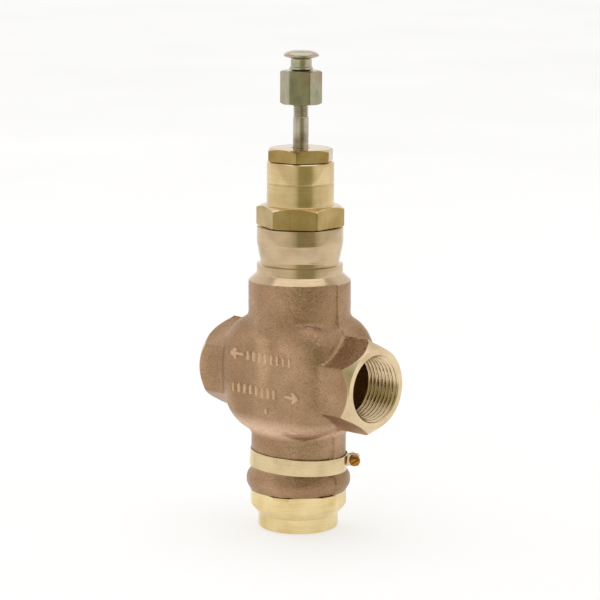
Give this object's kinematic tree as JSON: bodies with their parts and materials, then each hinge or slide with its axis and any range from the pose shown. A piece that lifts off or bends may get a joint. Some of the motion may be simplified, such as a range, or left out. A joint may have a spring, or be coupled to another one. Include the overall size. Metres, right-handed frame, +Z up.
{
  "type": "globe control valve",
  "caption": "Stem-operated cast globe valve with two female pipe sockets, a hexagonal bonnet, a packing gland, a threaded stem with a button head and a bottom plug.",
  "frame": {"origin": "centre of the bottom plug's underside, on the stem axis", "axes": "+Z up along the stem, +X towards the outlet socket, -Y towards the face with the cast flow arrows"},
  "size_m": [0.0826, 0.0431, 0.1937],
  "materials": {
    "cast_bronze": "sand cast, matt",
    "turned_brass": "turned, semi-bright",
    "strap_brass": "rolled sheet, satin",
    "stainless_steel": "turned",
    "zinc_plate": "zinc plated, yellow passivated",
    "copper_washer": "annealed copper",
    "packing_polymer": "moulded",
    "gasket_fibre": "pressed fibre",
    "disc_rubber": "moulded"
  },
  "bodies": {
    "housing": {"valve_body": "cast_bronze", "bottom_plug": "turned_brass", "bottom_gasket": "gasket_fibre", "bonnet": "turned_brass", "bonnet_gasket": "gasket_fibre", "guide_bush": "packing_polymer", "packing_spring": "stainless_steel", "seat_ring": "turned_brass", "seat_gasket": "copper_washer", "strap_band": "strap_brass", "strap_nut": "strap_brass"},
    "stem_assembly": {"stem": "stainless_steel", "valve_plug": "turned_brass", "seat_disc": "disc_rubber", "disc_washer": "stainless_steel", "disc_nut": "turned_brass"},
    "button": {"stem_button": "zinc_plate"},
    "coupling": {"coupling_nut": "zinc_plate"},
    "packing": {"packing_washer": "turned_brass", "packing_ring_1": "packing_polymer", "packing_ring_2": "packing_polymer", "packing_ring_3": "packing_polymer", "packing_follower": "turned_brass"},
    "gland": {"gland_nut": "turned_brass"},
    "clamp_screw": {"strap_screw": "strap_brass"}
  },
  "joints": [
    {"name": "stem_travel", "type": "slide", "parent": "housing", "child": "stem_assembly", "axis": [0, 0, 1], "range_m": [-0.008, 0]},
    {"name": "button_lift", "type": "slide", "parent": "stem_assembly", "child": "button", "axis": [0, 0, 1], "range_m": [-0.0018, 0.0018]},
    {"name": "coupling_turn", "type": "hinge", "parent": "button", "child": "coupling", "pos_m": [0, 0, 0.179], "axis": [0, 0, 1], "range_deg": [-720, 720]},
    {"name": "packing_lift", "type": "slide", "parent": "housing", "child": "packing", "axis": [0, 0, 1], "range_m": [0, 0.0028], "deforming": ["packing_spring"]},
    {"name": "gland_turn", "type": "hinge", "parent": "packing", "child": "gland", "pos_m": [0, 0, 0.152], "axis": [0, 0, 1], "range_deg": [0, 720]},
    {"name": "strap_screw_turn", "type": "hinge", "parent": "housing", "child": "clamp_screw", "pos_m": [0.01463, 0.01744, 0.02669], "axis": [0.766, -0.6428, 0], "range_deg": [0, 720]}
  ],
  "couplings": [
    {"joint": "coupling_turn", "follows": "button_lift", "rad_per_m": 6926.2},
    {"joint": "gland_turn", "follows": "packing_lift", "rad_per_m": 4452.6}
  ]
}
